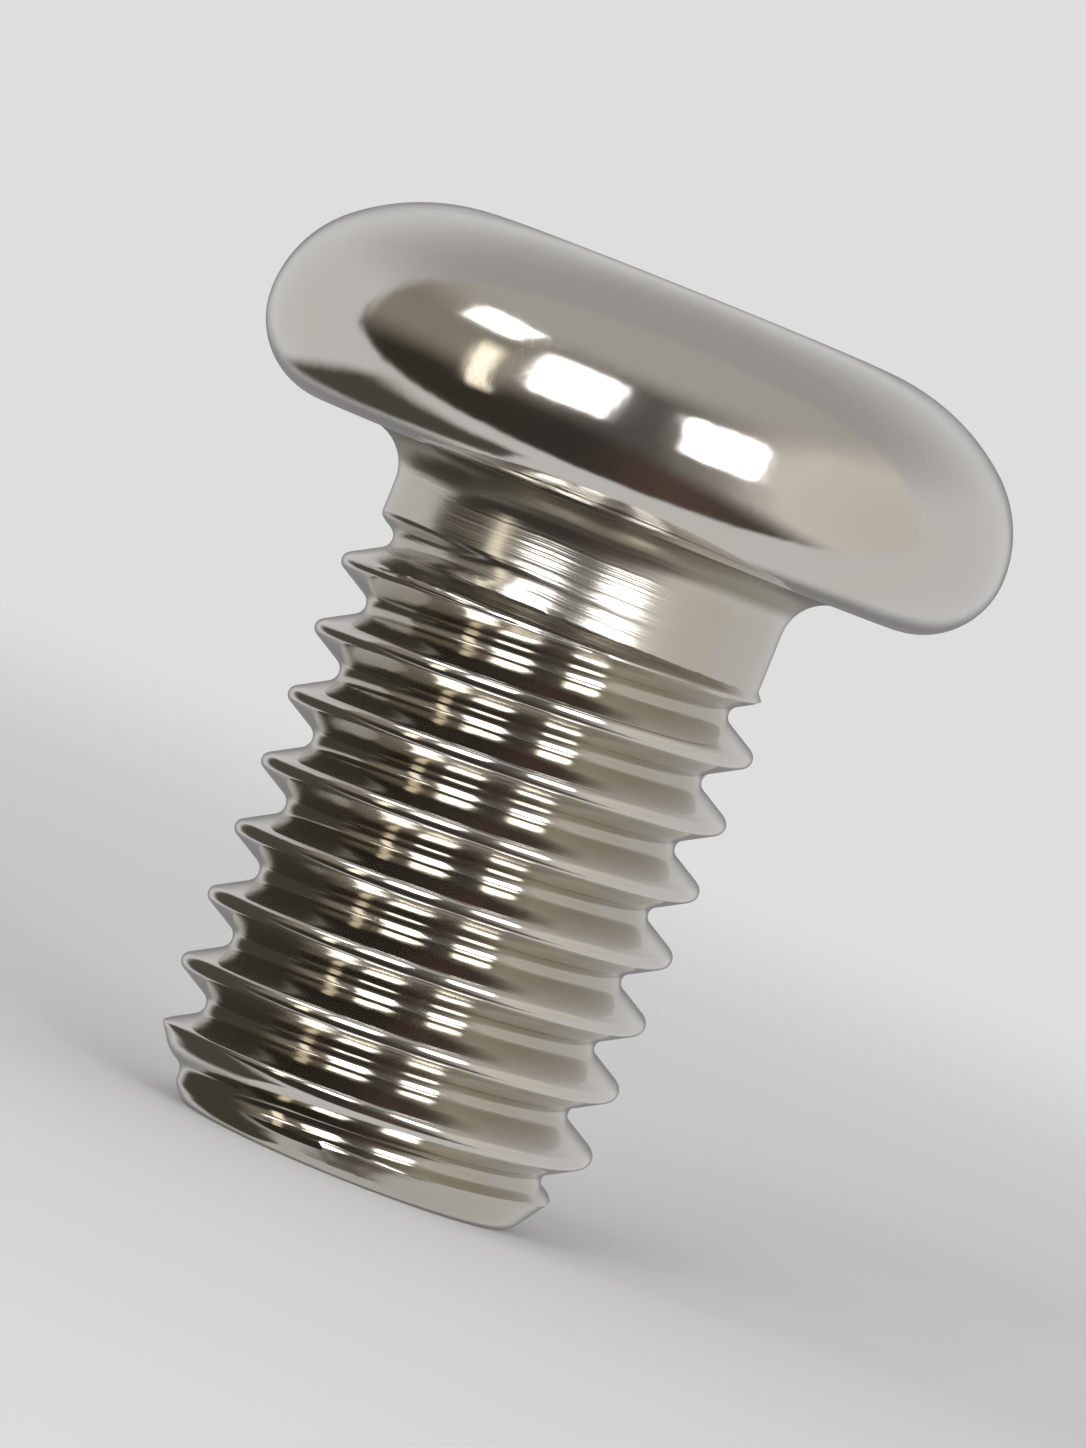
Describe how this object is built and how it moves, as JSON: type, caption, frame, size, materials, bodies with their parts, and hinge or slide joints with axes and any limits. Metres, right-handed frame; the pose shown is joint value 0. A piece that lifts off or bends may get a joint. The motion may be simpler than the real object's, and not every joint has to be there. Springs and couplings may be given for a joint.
{
  "type": "thin head hex socket screw",
  "caption": "Short machine screw with a thin round-edged head, a hexagon socket, a plain neck and a right-hand thread, used to clamp furniture and fittings.",
  "frame": {"origin": "centre of the flat end of the shank, on which the screw stands", "axes": "+Z along the screw from the tip to the head, +X towards a corner of the hexagon socket"},
  "size_m": [0.0137, 0.0136, 0.0163],
  "materials": {
    "plated_steel": "bright nickel plate with fine handling marks"
  },
  "bodies": {
    "root": {"screw": "plated_steel"}
  },
  "joints": []
}
